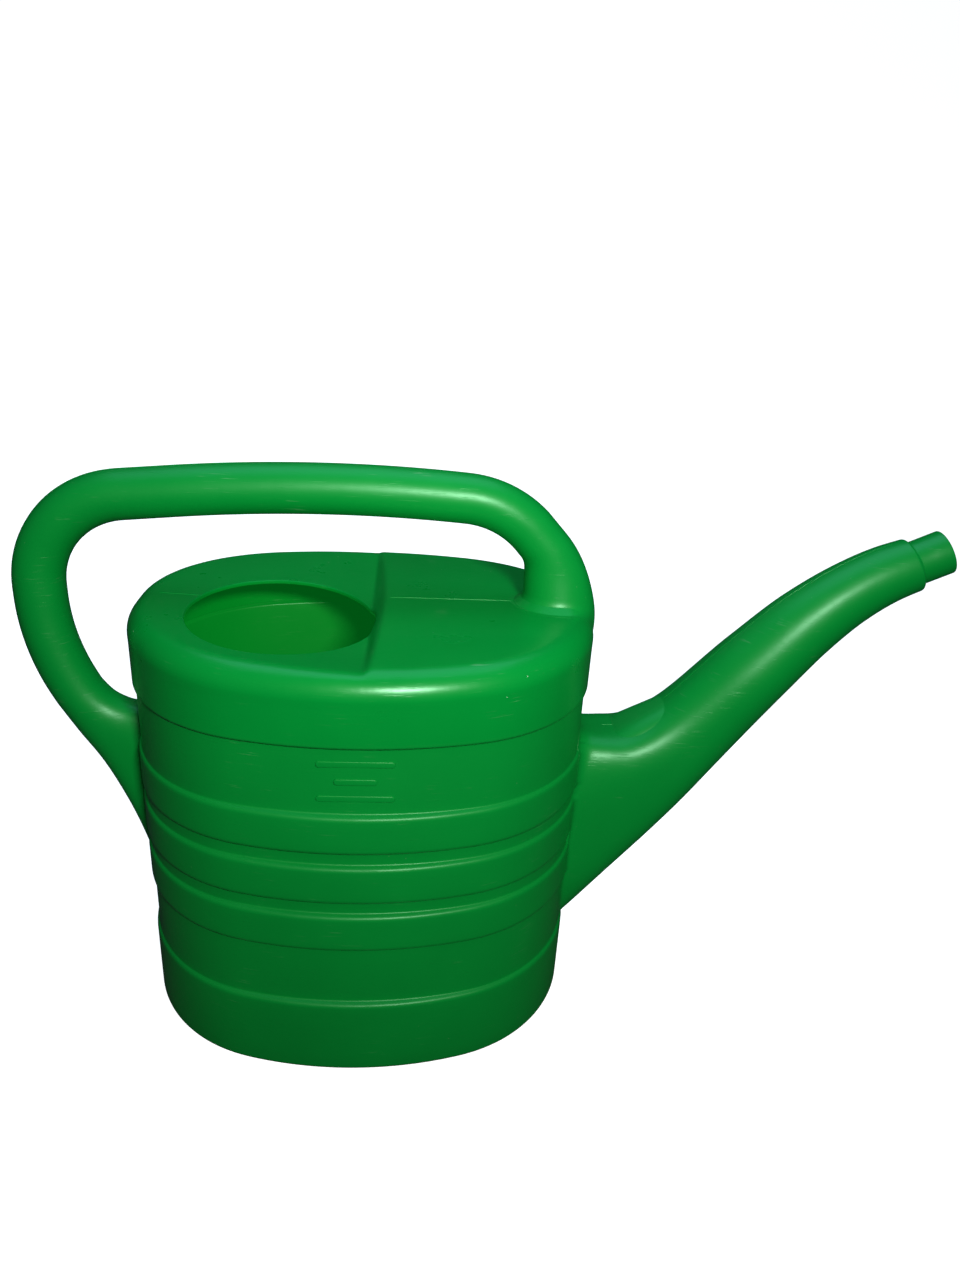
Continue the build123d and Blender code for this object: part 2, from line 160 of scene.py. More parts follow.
# ---------------------------------------------------------------------------------------------
# Green polyethylene: the whole can is blown from one tube of this plastic. Its skin is waxy and
# softly glossy, finely grained by the mould, and lightly scuffed and nibbed by use. Light through
# the wall is painted: the inner faces get a yellower base colour and a faint green glow.
# ---------------------------------------------------------------------------------------------
PLASTIC_GREEN = (0.0002, 0.250, 0.029, 1)
# Painted through-light for the inner faces: a yellower base colour, and the colour of a faint glow.
PAINTED_THROUGH_LIGHT_GREEN = (0.0002, 0.16, 0.010, 1)
SHEEN_TINT = (0.55, 1.0, 0.66, 1)
PAINTED_THROUGH_GLOW = (0.0, 0.070, 0.006, 1)


def new_group(name, inputs, outputs):
    """A shader node group with named sockets, and its two end nodes."""
    group = bpy.data.node_groups.new(name, "ShaderNodeTree")
    for label, kind, value in inputs:
        socket = group.interface.new_socket(name=label, in_out="INPUT", socket_type=kind)
        if value is not None:
            socket.default_value = value
    for label, kind in outputs:
        group.interface.new_socket(name=label, in_out="OUTPUT", socket_type=kind)
    return group, group.nodes.new("NodeGroupInput"), group.nodes.new("NodeGroupOutput")


def math_node(group, operation, first, second=None, clamp=False):
    """A math node; each operand is a socket or a number."""
    node = group.nodes.new("ShaderNodeMath")
    node.operation = operation
    node.use_clamp = clamp
    for place, operand in enumerate((first, second)):
        if operand is None:
            continue
        if isinstance(operand, (int, float)):
            node.inputs[place].default_value = operand
        else:
            group.links.new(operand, node.inputs[place])
    return node.outputs[0]


def noise_node(group, vector, scale, detail, roughness=0.5):
    """A noise texture's value at a position."""
    node = group.nodes.new("ShaderNodeTexNoise")
    node.inputs["Scale"].default_value = scale
    node.inputs["Detail"].default_value = detail
    node.inputs["Roughness"].default_value = roughness
    group.links.new(vector, node.inputs["Vector"])
    return node.outputs["Fac"]


def colour_mix(group, factor, first, second, blend="MIX"):
    """A colour mix; each colour is a socket or a value."""
    node = group.nodes.new("ShaderNodeMix")
    node.data_type = "RGBA"
    node.blend_type = blend
    if isinstance(factor, (int, float)):
        node.inputs["Factor"].default_value = factor
    else:
        group.links.new(factor, node.inputs["Factor"])
    for place, colour in ((6, first), (7, second)):
        if isinstance(colour, tuple):
            node.inputs[place].default_value = colour
        else:
            group.links.new(colour, node.inputs[place])
    return node.outputs[2]


def moulded_skin_group():
    """Grain, flow marks, scuffs and nibs of a blown plastic skin."""
    group, start, end = new_group(
        "moulded_skin",
        [
            ("Vector", "NodeSocketVector", None),
            ("Green", "NodeSocketColor", PLASTIC_GREEN),
            ("Scuffs", "NodeSocketFloat", 0.5),
            ("Nibs", "NodeSocketFloat", 0.5),
            ("Gloss", "NodeSocketFloat", 0.30),
        ],
        [("Color", "NodeSocketColor"), ("Roughness", "NodeSocketFloat"), ("Height", "NodeSocketFloat")],
    )
    place = start.outputs["Vector"]
    cloud = noise_node(group, place, 9.0, 3.0)
    patch = noise_node(group, place, 38.0, 4.0, 0.6)
    grain = noise_node(group, place, 2600.0, 2.0)
    ripple = noise_node(group, place, 150.0, 2.0)

    stretch = group.nodes.new("ShaderNodeMapping")
    stretch.inputs["Scale"].default_value = (60.0, 60.0, 1500.0)
    group.links.new(place, stretch.inputs["Vector"])
    scratch = noise_node(group, stretch.outputs["Vector"], 1.0, 2.0)
    scratch_lines = math_node(group, "MULTIPLY", math_node(group, "SUBTRACT", scratch, 0.63), 9.0, True)
    rubbed = math_node(group, "MULTIPLY", math_node(group, "SUBTRACT", patch, 0.56), 7.0, True)
    scuffed = math_node(group, "MULTIPLY", scratch_lines, rubbed)
    scuffed = math_node(group, "MULTIPLY", scuffed, start.outputs["Scuffs"])

    dots = group.nodes.new("ShaderNodeTexVoronoi")
    dots.inputs["Scale"].default_value = 150.0
    group.links.new(place, dots.inputs["Vector"])
    dot = math_node(group, "LESS_THAN", dots.outputs["Distance"], 0.045)
    sparse = math_node(group, "GREATER_THAN", noise_node(group, place, 27.0, 1.0), 0.60)
    nibs = math_node(group, "MULTIPLY", math_node(group, "MULTIPLY", dot, sparse), start.outputs["Nibs"])

    shade = math_node(group, "MULTIPLY", math_node(group, "SUBTRACT", cloud, 0.5), 0.30)
    lighter = math_node(group, "ADD", math_node(group, "MULTIPLY", patch, 0.06), shade)
    strength = math_node(group, "ADD", lighter, 0.97)
    varied = group.nodes.new("ShaderNodeVectorMath")
    varied.operation = "SCALE"
    group.links.new(start.outputs["Green"], varied.inputs[0])
    group.links.new(strength, varied.inputs["Scale"])
    chalk = (0.30, 0.55, 0.36, 1)
    scuff_colour = colour_mix(group, math_node(group, "MULTIPLY", scuffed, 0.45), varied.outputs[0], chalk)
    pale_nib = (0.55, 0.70, 0.55, 1)
    nib_colour = colour_mix(group, math_node(group, "MULTIPLY", nibs, 0.8), scuff_colour, pale_nib)
    group.links.new(nib_colour, end.inputs["Color"])

    rough = math_node(group, "ADD", start.outputs["Gloss"], math_node(group, "MULTIPLY", patch, 0.10))
    rough = math_node(group, "ADD", rough, math_node(group, "MULTIPLY", scuffed, 0.22), True)
    group.links.new(rough, end.inputs["Roughness"])

    height = math_node(group, "MULTIPLY", grain, 0.20)
    height = math_node(group, "ADD", height, math_node(group, "MULTIPLY", ripple, 0.55))
    height = math_node(group, "ADD", height, math_node(group, "MULTIPLY", scratch_lines, 0.30))
    height = math_node(group, "ADD", height, math_node(group, "MULTIPLY", nibs, 0.8))
    group.links.new(height, end.inputs["Height"])
    return group


skin_group = moulded_skin_group()


def plastic(name, scuffs, nibs, gloss=0.30):
    """Green polyethylene with its own amount of scuffing."""
    material = bpy.data.materials.new(name)
    material.use_nodes = True
    tree = material.node_tree
    shader = tree.nodes["Principled BSDF"]
    shader.inputs["IOR"].default_value = 1.5
    shader.inputs["Specular IOR Level"].default_value = 0.5
    shader.inputs["Specular Tint"].default_value = SHEEN_TINT
    shader.inputs["Emission Color"].default_value = PAINTED_THROUGH_GLOW
    place = tree.nodes.new("ShaderNodeTexCoord")
    inside = tree.nodes.new("ShaderNodeAttribute")
    inside.attribute_name = "inside"
    # Painted through-light: faces whose inside attribute is set take the yellower inner colour and glow
    # faintly green (emission strength from that attribute).
    green = tree.nodes.new("ShaderNodeMix")
    green.data_type = "RGBA"
    green.inputs[6].default_value = PLASTIC_GREEN
    green.inputs[7].default_value = PAINTED_THROUGH_LIGHT_GREEN
    tree.links.new(inside.outputs["Fac"], green.inputs["Factor"])
    tree.links.new(inside.outputs["Fac"], shader.inputs["Emission Strength"])
    skin = tree.nodes.new("ShaderNodeGroup")
    skin.node_tree = skin_group
    skin.inputs["Scuffs"].default_value = scuffs
    skin.inputs["Nibs"].default_value = nibs
    skin.inputs["Gloss"].default_value = gloss
    tree.links.new(place.outputs["Object"], skin.inputs["Vector"])
    tree.links.new(green.outputs[2], skin.inputs["Green"])
    bump = tree.nodes.new("ShaderNodeBump")
    bump.inputs["Strength"].default_value = 0.5
    bump.inputs["Distance"].default_value = 0.00025
    tree.links.new(skin.outputs["Height"], bump.inputs["Height"])
    tree.links.new(skin.outputs["Color"], shader.inputs["Base Color"])
    tree.links.new(skin.outputs["Roughness"], shader.inputs["Roughness"])
    tree.links.new(bump.outputs["Normal"], shader.inputs["Normal"])
    return material


tank_plastic = plastic("tank_plastic", 0.35, 0.15, 0.34)
cover_plastic = plastic("cover_plastic", 0.35, 0.9, 0.24)
grip_plastic = plastic("grip_plastic", 0.45, 0.1, 0.33)

# ---------------------------------------------------------------------------------------------
# Tank wall: the side of the moulding, with its foot band, lower recess, three ribs and plain
# panel. One profile is carried round the oval; the wall keeps its thickness, so every step on
# the outside shows again on the inside.
# ---------------------------------------------------------------------------------------------
MM = 0.001
wall_low, wall_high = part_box("tank_wall")
cover_low, cover_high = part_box("top_cover")

DRAFT = 0.01
DRAFT_LEVEL = 173.0 * MM
WALL = 2.2 * MM
END_FLAT = 5.4 * MM
SIDE_CROWN = 5.2 * MM
HALF_LENGTH = wall_high.x - DRAFT * (wall_high.z - DRAFT_LEVEL)
HALF_WIDTH = wall_high.y - DRAFT * (wall_high.z - DRAFT_LEVEL)
CORNER_RADIUS = HALF_WIDTH - END_FLAT - SIDE_CROWN
CORNER_X = HALF_LENGTH - CORNER_RADIUS
SIDE_RADIUS = ((HALF_WIDTH - END_FLAT) ** 2 + CORNER_X**2 - CORNER_RADIUS**2) / (2 * SIDE_CROWN)
SIDE_Y = HALF_WIDTH - SIDE_RADIUS
JUNCTION = atan2(END_FLAT - SIDE_Y, CORNER_X)
CROWN = 3.4 * MM
TANK_HEIGHT = cover_high.z - CROWN
RIB_DEPTH = 4.0 * MM
RIB_SLOPE = 1.4 * MM
RIB = 22.8 * MM
RIB_GAP = 8.5 * MM
BASE_BAND = 48.6 * MM
TOP_BAND_FOOT = TANK_HEIGHT - 39.1 * MM
PANEL_FOOT = TOP_BAND_FOOT - 39.4 * MM
EDGE_ROUNDING = 2.2 * MM


def growth(z):
    """How far the drafted wall stands outside its nominal outline at a height."""
    return DRAFT * (z - DRAFT_LEVEL)


def outline(count):
    """Evenly spaced points on the nominal oval, and their outward normals."""
    fine = 0.2 * MM
    quarter = [(HALF_LENGTH, y, 1.0, 0.0) for y in np.arange(0, END_FLAT, fine)]
    for centre, radius, begin, finish in (
        ((CORNER_X, END_FLAT), CORNER_RADIUS, 0.0, JUNCTION),
        ((0.0, SIDE_Y), SIDE_RADIUS, JUNCTION, pi / 2),
    ):
        for turn in np.arange(begin, finish, fine / radius):
            across = centre[0] + radius * cos(turn)
            along = centre[1] + radius * sin(turn)
            quarter.append((across, along, cos(turn), sin(turn)))
    first = np.array(quarter + [(0.0, HALF_WIDTH, 0.0, 1.0)])
    half = np.vstack((first, first[::-1][1:] * (-1, 1, -1, 1)))
    whole = np.vstack((half, half[::-1][1:-1] * (1, -1, 1, -1)))
    closed = np.vstack((whole, whole[:1]))
    length = np.r_[0, np.cumsum(np.hypot(*np.diff(closed[:, :2], axis=0).T))]
    at = np.linspace(0, length[-1], count, endpoint=False)
    found = np.column_stack([np.interp(at, length, closed[:, column]) for column in range(4)])
    found[:, 2:] /= np.linalg.norm(found[:, 2:], axis=1)[:, None]
    return found[:, :2], found[:, 2:]


def stepped(inset=0.0, shift=0.0):
    """The stepped side as (offset, height) points; shift moves each ledge into the bands."""
    steps = [(BASE_BAND, False)]
    for number in (2, 1, 0):
        top = PANEL_FOOT - number * (RIB + RIB_GAP)
        steps += [(top - RIB, True), (top, False)]
    points = []
    for height, outwards in [*steps, (TOP_BAND_FOOT, True)]:
        level = height + (shift if outwards else -shift)
        proud = growth(level) - inset
        ends = (proud - RIB_DEPTH, proud) if outwards else (proud, proud - RIB_DEPTH)
        points += [(ends[0], level - RIB_SLOPE / 2), (ends[1], level + RIB_SLOPE / 2)]
    return points


def rounded(points, radius, steps=6):
    """A polyline with its corners turned into short curves, tighter where the corner is hollow."""
    points = [np.array(point, float) for point in points]
    path = [points[0]]
    for before, corner, after in zip(points, points[1:], points[2:]):
        into = before - corner
        out = after - corner
        hollow = out[0] * into[1] - out[1] * into[0] < 0
        bend = radius * (0.4 if hollow else 1.0)
        first = min(bend, 0.5 * np.linalg.norm(into))
        last = min(bend, 0.5 * np.linalg.norm(out))
        begin = corner + into / np.linalg.norm(into) * first
        finish = corner + out / np.linalg.norm(out) * last
        for share in np.linspace(0, 1, steps):
            path.append((1 - share) ** 2 * begin + 2 * share * (1 - share) * corner + share**2 * finish)
    path.append(points[-1])
    return np.array(path)


def subdivided(path, spacing):
    """Extra points on the long stretches of a polyline."""
    full = [path[0]]
    for begin, finish in zip(path, path[1:]):
        parts = max(1, int(np.linalg.norm(finish - begin) / spacing))
        full += [begin + (finish - begin) * (number + 1) / parts for number in range(parts)]
    return np.array(full)


def ring_mesh(name, rings, material, wrap=False, inside=None, sharp=40):
    """A closed mesh through equal rings of points; wrap joins the last ring to the first."""
    grid = np.asarray(rings, float)
    count, around = grid.shape[:2]
    index = np.arange(count * around).reshape(count, around)
    rows = count if wrap else count - 1
    below = index[:rows]
    above = index[(np.arange(rows) + 1) % count]
    quads = np.stack((below, np.roll(below, -1, 1), np.roll(above, -1, 1), above), -1).reshape(-1, 4)
    flat = grid.reshape(-1, 3)
    a, b, c, d = (flat[quads[:, column]] for column in range(4))
    volume = np.einsum("ij,ij->i", a, np.cross(b, c)).sum() + np.einsum("ij,ij->i", a, np.cross(c, d)).sum()
    ends = [] if wrap else [index[0][::-1].tolist(), index[-1].tolist()]
    faces = quads.tolist() + ends
    if volume < 0:
        faces = [face[::-1] for face in faces]
    mesh = bpy.data.meshes.new(name)
    mesh.from_pydata(flat.tolist(), [], faces)
    mesh.materials.append(material)
    attribute = mesh.attributes.new("inside", "FLOAT", "POINT")
    if inside is not None:
        attribute.data.foreach_set("value", np.repeat(np.asarray(inside, np.float32), around))
    mesh.validate()
    mesh.shade_smooth()
    mesh.set_sharp_from_angle(angle=radians(sharp))
    piece = bpy.data.objects.new(name, mesh)
    scene.collection.objects.link(piece)
    return piece


def fade(x):
    """How much of the full rib depth is left at a place along the tank."""
    share = np.clip(np.abs(x) / HALF_LENGTH, 0, 1)
    return 0.85 - 0.45 * share**2 * (3 - 2 * share)


def round_the_oval(profile, points, normals, depth=0.0):
    """Rings that carry (offset, height) points round the outline, with steps of a given depth."""
    rings = []
    shallower = 1 - fade(points[:, 0])
    for offset, height in profile:
        step = np.clip(growth(height) - depth - offset, 0, RIB_DEPTH)
        ring = points + normals * (offset + step * shallower)[:, None]
        rings.append(np.column_stack((ring, np.full(len(ring), height))))
    return rings


outer_ends = ((growth(wall_low.z), wall_low.z), (growth(wall_high.z), wall_high.z))
outer_side = rounded([outer_ends[0], *stepped(), outer_ends[1]], EDGE_ROUNDING)
inner_top = (growth(wall_high.z) - WALL, wall_high.z + EDGE_ROUNDING)
inner_side = rounded([(outer_ends[0][0] - WALL, wall_low.z), *stepped(WALL, WALL), inner_top], EDGE_ROUNDING)
inner_side = inner_side[inner_side[:, 1] <= wall_high.z]
RING_SPACING = 4.0 * MM
outer_path = subdivided(outer_side, RING_SPACING)
inner_path = subdivided(inner_side, RING_SPACING)[::-1]
OVAL_POINTS = 420
oval_points, oval_normals = outline(OVAL_POINTS)
wall_rings = round_the_oval(outer_path, oval_points, oval_normals)
wall_rings += round_the_oval(inner_path, oval_points, oval_normals, WALL)
wall_inside = [0.0] * len(outer_path) + [1.0] * len(inner_path)
tank_wall = ring_mesh("tank_wall_skin", wall_rings, tank_plastic, True, wall_inside)
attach(tank_wall, "root")
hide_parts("tank_wall")

# ---------------------------------------------------------------------------------------------
# Tank base: the floor pan under the wall, part of the same moulding. It turns in with a small
# radius to a flat underside and is as thick as the wall.
# ---------------------------------------------------------------------------------------------
base_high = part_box("tank_base")[1]
FLOOR_RADIUS = 4.0 * MM
FLOOR_CENTRE = -40 * MM
base_profile = [(FLOOR_CENTRE, WALL), (growth(0) - FLOOR_RADIUS - WALL, WALL)]
for step in range(1, 6):
    turn = pi / 2 * step / 5
    reach = (FLOOR_RADIUS - WALL) * sin(turn)
    base_profile.append((growth(0) - FLOOR_RADIUS + reach, FLOOR_RADIUS - (FLOOR_RADIUS - WALL) * cos(turn)))
base_profile += [(growth(base_high.z) - WALL, base_high.z), (growth(base_high.z), base_high.z)]
for step in range(9):
    turn = pi / 2 * (1 - step / 8)
    reach = FLOOR_RADIUS * sin(turn)
    base_profile.append((growth(0) - FLOOR_RADIUS + reach, FLOOR_RADIUS * (1 - cos(turn))))
base_profile.append((FLOOR_CENTRE, 0.0))
base_rings = []
for offset, height in base_profile:
    ring = oval_points + oval_normals * offset
    base_rings.append(np.column_stack((ring, np.full(len(ring), height))))
base_inside = [1.0] * 8 + [0.0] * (len(base_rings) - 8)
tank_base = ring_mesh("tank_base_skin", base_rings, tank_plastic, False, base_inside)
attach(tank_base, "root")
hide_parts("tank_base")

# ---------------------------------------------------------------------------------------------
# Top: the shoulder, the slightly crowned deck, and the dished half with the fill opening cut
# through it. The cut edge shows the thickness of the wall.
# ---------------------------------------------------------------------------------------------
SHOULDER_RADIUS = 13.0 * MM
CROWN_RADIUS = (HALF_WIDTH**2 + CROWN**2) / (2 * CROWN)
DISH_STEP_X = 3.3 * MM
DISH_DROP = 7.9 * MM
DISH_TILT = radians(3.3)
DISH_RADIUS = 1.3
STEP_RUN = 7.0 * MM
STEP_SOFTNESS = 1.1 * MM
DISH_SOFTNESS = 2.6 * MM
OPENING = np.array((-45.5, -21.3)) * MM
OPENING_HALF = np.array((51.5, 57.0)) * MM
LIP = 0.4 * MM


def smooth_least(first, second, softness):
    """The lesser of two values with the corner between them softened."""
    gap = np.clip(0.5 + 0.5 * (second - first) / softness, 0, 1)
    return second * (1 - gap) + first * gap - softness * gap * (1 - gap)


def crown_height(y):
    """Height of the deck before the dish is taken out."""
    return TANK_HEIGHT + CROWN - (CROWN_RADIUS - np.sqrt(CROWN_RADIUS**2 - y**2))


def dish_height(x, y):
    """Height of the dish, its end step included."""
    low = TANK_HEIGHT + CROWN - DISH_DROP + y**2 / (2 * DISH_RADIUS)
    slope = low + np.maximum(0, DISH_STEP_X - x) * sin(DISH_TILT)
    ramp = low + (x - DISH_STEP_X) * DISH_DROP / STEP_RUN
    return -smooth_least(-slope, -ramp, STEP_SOFTNESS)


def oval_distance(x, y):
    """How far points lie outside the nominal oval."""
    x = np.abs(x)
    y = np.abs(y)
    turn = np.arctan2(y - END_FLAT, x - CORNER_X)
    corner = np.hypot(x - CORNER_X, y - END_FLAT) - CORNER_RADIUS
    side = np.hypot(x, y - SIDE_Y) - SIDE_RADIUS
    return np.where(y < END_FLAT, x - HALF_LENGTH, np.where(turn < JUNCTION, corner, side))


def deck_height(x, y, inset=0.0):
    """Height of the deck's skin, shoulder included; inset gives its inside."""
    edge = np.clip(-(oval_distance(x, y) - growth(TANK_HEIGHT) + inset), 0, SHOULDER_RADIUS - inset)
    radius = SHOULDER_RADIUS - inset
    fall = radius - np.sqrt(np.maximum(0, radius**2 - (radius - edge) ** 2))
    return smooth_least(crown_height(y) - inset - fall, dish_height(x, y) - inset, DISH_SOFTNESS)


def cover_rings(inset, opening_half):
    """Rings up the side, over the shoulder and in to the opening."""
    radius = SHOULDER_RADIUS - inset
    rings = []
    for height in np.linspace(cover_low.z, TANK_HEIGHT - SHOULDER_RADIUS - 2 * MM, 7):
        ring = oval_points + oval_normals * (growth(height) - inset)
        rings.append(np.column_stack((ring, np.full(len(ring), height))))
    edge = growth(TANK_HEIGHT) - inset
    for turn in np.linspace(0, pi / 2, 17):
        ring = oval_points + oval_normals * (edge - radius * (1 - cos(turn)))
        top = crown_height(ring[:, 1]) - inset - radius * (1 - sin(turn))
        if turn > 0.2:
            top = smooth_least(top, dish_height(*ring.T) - inset, DISH_SOFTNESS)
        rings.append(np.column_stack((ring, top)))
    inner = oval_points + oval_normals * (edge - radius)
    reach = (inner - OPENING) / opening_half
    rim = OPENING + reach / np.linalg.norm(reach, axis=1)[:, None] * opening_half
    for share in np.linspace(0, 1, 76)[1:]:
        ring = inner + (rim - inner) * share
        rings.append(np.column_stack((ring, deck_height(*ring.T, inset))))
    return rings


def lowered(ring, by):
    """A copy of a ring a little lower down."""
    return ring - np.array((0, 0, by))


deck_rings = cover_rings(0.0, OPENING_HALF + LIP)
under_rings = cover_rings(WALL, OPENING_HALF + LIP / 2)
inner_lip = cover_rings(0.0, OPENING_HALF)[-1]
cut_edge = [lowered(inner_lip, LIP), lowered(inner_lip, WALL - LIP / 2)]
all_cover = [*deck_rings, *cut_edge, *under_rings[::-1]]
cover_inside = [0.0] * (len(deck_rings) + 1) + [1.0] * (len(under_rings) + 1)
top_cover = ring_mesh("top_cover_skin", all_cover, cover_plastic, True, cover_inside)
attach(top_cover, "root")
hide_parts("top_cover")

# ---------------------------------------------------------------------------------------------
# Handle: a hollow loop blown with the tank. The round grip flattens into a deep web down the
# rear end of the tank, and at the front it spreads and runs smoothly onto the deck.
# ---------------------------------------------------------------------------------------------
side_heights = np.concatenate(([0.0], outer_side[:, 1]))
side_offsets = np.concatenate(([growth(0)], outer_side[:, 0]))


def tank_distance(points):
    """Roughly how far points lie outside the tank's skin."""
    x, y, z = points.T
    side = oval_distance(x, y)
    step = np.interp(z, side_heights, side_offsets) - growth(z)
    below = side - growth(z) - step * fade(x)
    over = side - growth(z) + SHOULDER_RADIUS
    above = z - crown_height(np.clip(y, -HALF_WIDTH, HALF_WIDTH)) + SHOULDER_RADIUS
    corner = np.hypot(np.maximum(over, 0), np.maximum(above, 0)) + np.minimum(np.maximum(over, above), 0)
    cap = np.maximum(corner - SHOULDER_RADIUS, z - dish_height(x, y))
    return np.where(z < TANK_HEIGHT - 2 * SHOULDER_RADIUS, below, cap)


def away_from_tank(points, here):
    """The direction in which the distance from the tank grows, at points whose distance is known."""
    tiny = 0.05 * MM
    shifts = tiny * np.eye(3)
    return np.column_stack([(tank_distance(points + shift) - here) / tiny for shift in shifts])


def onto_tank(points, lift):
    """Move points along the distance field until they lie just off the tank's skin."""
    for _ in range(12):
        here = tank_distance(points)
        slope = away_from_tank(points, here)
        size = np.maximum(np.einsum("ij,ij->i", slope, slope), 0.25)
        points = points - slope * ((here - lift) / size)[:, None] * 0.8
    return points


def through(rows, spacing):
    """A smooth run through rows of numbers, about one every spacing along their middle."""
    rows = np.array(rows, float)
    middles = (rows[:, 0:2] + rows[:, 2:4]) / 2
    gaps = np.linalg.norm(np.diff(middles, axis=0), axis=1)
    at = np.r_[0, np.cumsum(gaps)]
    slopes = np.diff(rows, axis=0) / gaps[:, None]
    weights = (gaps[:-1] / (gaps[:-1] + gaps[1:]))[:, None]
    inner = slopes[:-1] * (1 - weights) + slopes[1:] * weights
    tangents = np.vstack((1.5 * slopes[0] - 0.5 * inner[0], inner, 1.5 * slopes[-1] - 0.5 * inner[-1]))
    run = []
    for number, gap in enumerate(gaps):
        steps = max(2, round(gap / spacing))
        for share in np.arange(steps) / steps:
            start = (1 + 2 * share) * (1 - share) ** 2 * rows[number]
            leave = share * (1 - share) ** 2 * gap * tangents[number]
            stop = share**2 * (3 - 2 * share) * rows[number + 1]
            arrive = share**2 * (share - 1) * gap * tangents[number + 1]
            run.append(start + leave + stop + arrive)
    return [*run, rows[-1]]


def cross_section(row, around):
    """A ring across the middle plane: lower x and z, upper x and z, half width, squareness."""
    lower = np.array((row[0], 0, row[1]))
    upper = np.array((row[2], 0, row[3]))
    centre = (lower + upper) / 2
    rise = np.linalg.norm(upper - lower) / 2
    upward = (upper - lower) / (2 * rise)
    turns = np.linspace(0, 2 * pi, around, endpoint=False)
    side = np.sign(np.cos(turns)) * np.abs(np.cos(turns)) ** (2 / row[5]) * row[4]
    tall = np.sign(np.sin(turns)) * np.abs(np.sin(turns)) ** (2 / row[5]) * rise
    return centre + side[:, None] * np.array((0, 1, 0)) + tall[:, None] * upward


def round_row(x, z, angle, radius):
    """A round section square to a centre line that climbs at an angle in degrees."""
    side = sin(radians(angle)) * radius
    tall = cos(radians(angle)) * radius
    return (x + side, z - tall, x - side, z + tall, radius, 2.0)


def onto_skin(rings, blend, lift=0.06 * MM, bend=8):
    """Stop each lengthwise strip at the tank and sweep it out onto the skin over a blend.

    The blend is one length, or one for each strip. The last rings turn back inside the tube.
    """
    grid = np.asarray(rings)
    count, around = grid.shape[:2]
    away = np.array([tank_distance(ring) for ring in grid])
    ends = np.empty(around)
    meets = np.empty((around, 3))
    for strip in range(around):
        inside = np.nonzero(away[:, strip] < 0)[0]
        last = inside[0] if len(inside) else count - 1
        over = away[last - 1, strip] / max(away[last - 1, strip] - away[last, strip], 1e-9)
        ends[strip] = last - 1 + min(over, 1.0)
        meets[strip] = grid[last - 1, strip] + (grid[last, strip] - grid[last - 1, strip]) * min(over, 1.0)
    middle = meets.mean(axis=0)
    length = np.zeros((count, around))
    length[1:] = np.cumsum(np.linalg.norm(np.diff(grid, axis=0), axis=2), axis=0)
    stop = np.array([np.interp(ends[s], np.arange(count), length[:, s]) for s in range(around)])
    keep = np.maximum(stop - blend, stop * 0.2)
    result = []
    for share in np.linspace(0, 1, count):
        at = share * keep
        ring = np.empty((around, 3))
        for strip in range(around):
            for axis in range(3):
                ring[strip, axis] = np.interp(at[strip], length[:, strip], grid[:, strip, axis])
        result.append(ring)
    tangent_step = 0.5 * (np.roll(meets, -1, 0) - np.roll(meets, 1, 0))
    skin = onto_tank(meets, 0.0)
    normal = away_from_tank(skin, tank_distance(skin))
    normal /= np.linalg.norm(normal, axis=1)[:, None]
    outward = np.cross(tangent_step, normal)
    outward /= np.maximum(np.linalg.norm(outward, axis=1), 1e-9)[:, None]
    flip = np.sign(np.einsum("ij,ij->i", outward, meets - middle).sum())
    spread = np.minimum(blend, stop - keep)[:, None]
    foot = onto_tank(skin + outward * flip * spread, lift)
    start = result[-1]
    for share in np.linspace(0, 1, bend + 1)[1:]:
        result.append((1 - share) ** 2 * start + 2 * share * (1 - share) * skin + share**2 * foot)
    sunk = onto_tank(foot + outward * flip * 0.3 * MM, -1.5 * MM)
    result.append(sunk)
    for ring, size in ((start, 0.86), (result[count * 2 // 3], 0.82)):
        core = ring.mean(axis=0)
        result.append(core + (ring - core) * size)
    return result


GRIP_RADIUS = 14.1 * MM
back = -HALF_LENGTH
front = HALF_LENGTH
shoulder = TANK_HEIGHT
grip_corners = np.array(
    (
        (back - 36.8 * MM, shoulder - 60.6 * MM),
        (back - 52.0 * MM, shoulder - 30.3 * MM),
        (back - 52.0 * MM, shoulder + 53.3 * MM),
        (-26.9 * MM, shoulder + 68.8 * MM),
        (front - 44.1 * MM, shoulder + 60.9 * MM),
        (front - 27.9 * MM, shoulder + 32.7 * MM),
    )
)
grip_bends = np.array([125.0, 54.0, 930.0, 58.0]) * MM


def bent_line(corners, bends, spacing):
    """Points and headings along a polyline whose corners are round bends."""
    points = [corners[0]]
    for before, corner, after, radius in zip(corners, corners[1:], corners[2:], bends):
        into = (before - corner) / np.linalg.norm(before - corner)
        out = (after - corner) / np.linalg.norm(after - corner)
        half = np.arccos(np.clip(np.dot(into, out), -1, 1)) / 2
        reach = radius / np.tan(half)
        centre = corner + (into + out) / np.linalg.norm(into + out) * radius / np.sin(half)
        begin = corner + into * reach - centre
        finish = corner + out * reach - centre
        sweep = np.arctan2(begin[0] * finish[1] - begin[1] * finish[0], np.dot(begin, finish))
        steps = max(4, int(abs(sweep) * radius / spacing))
        for turn in np.linspace(0, sweep, steps + 1):
            across = begin[0] * cos(turn) - begin[1] * sin(turn)
            along = begin[0] * sin(turn) + begin[1] * cos(turn)
            points.append(centre + np.array((across, along)))
    return np.array([*points, corners[-1]])


grip_line = subdivided(bent_line(grip_corners, grip_bends, 3 * MM), 3 * MM)
headings = np.gradient(grip_line, axis=0)
grip_angles = np.degrees(np.arctan2(headings[:, 1], headings[:, 0]))
grip_rows = [round_row(*point, angle, GRIP_RADIUS) for point, angle in zip(grip_line, grip_angles)]


def root_row(end, outer, inner, half_width, squareness=2.0):
    """A root's section from the reaches and rises of its outer and inner edges in millimetres."""
    return (
        end + inner[0] * MM,
        shoulder + inner[1] * MM,
        end + outer[0] * MM,
        shoulder + outer[1] * MM,
        half_width * MM,
        squareness,
    )


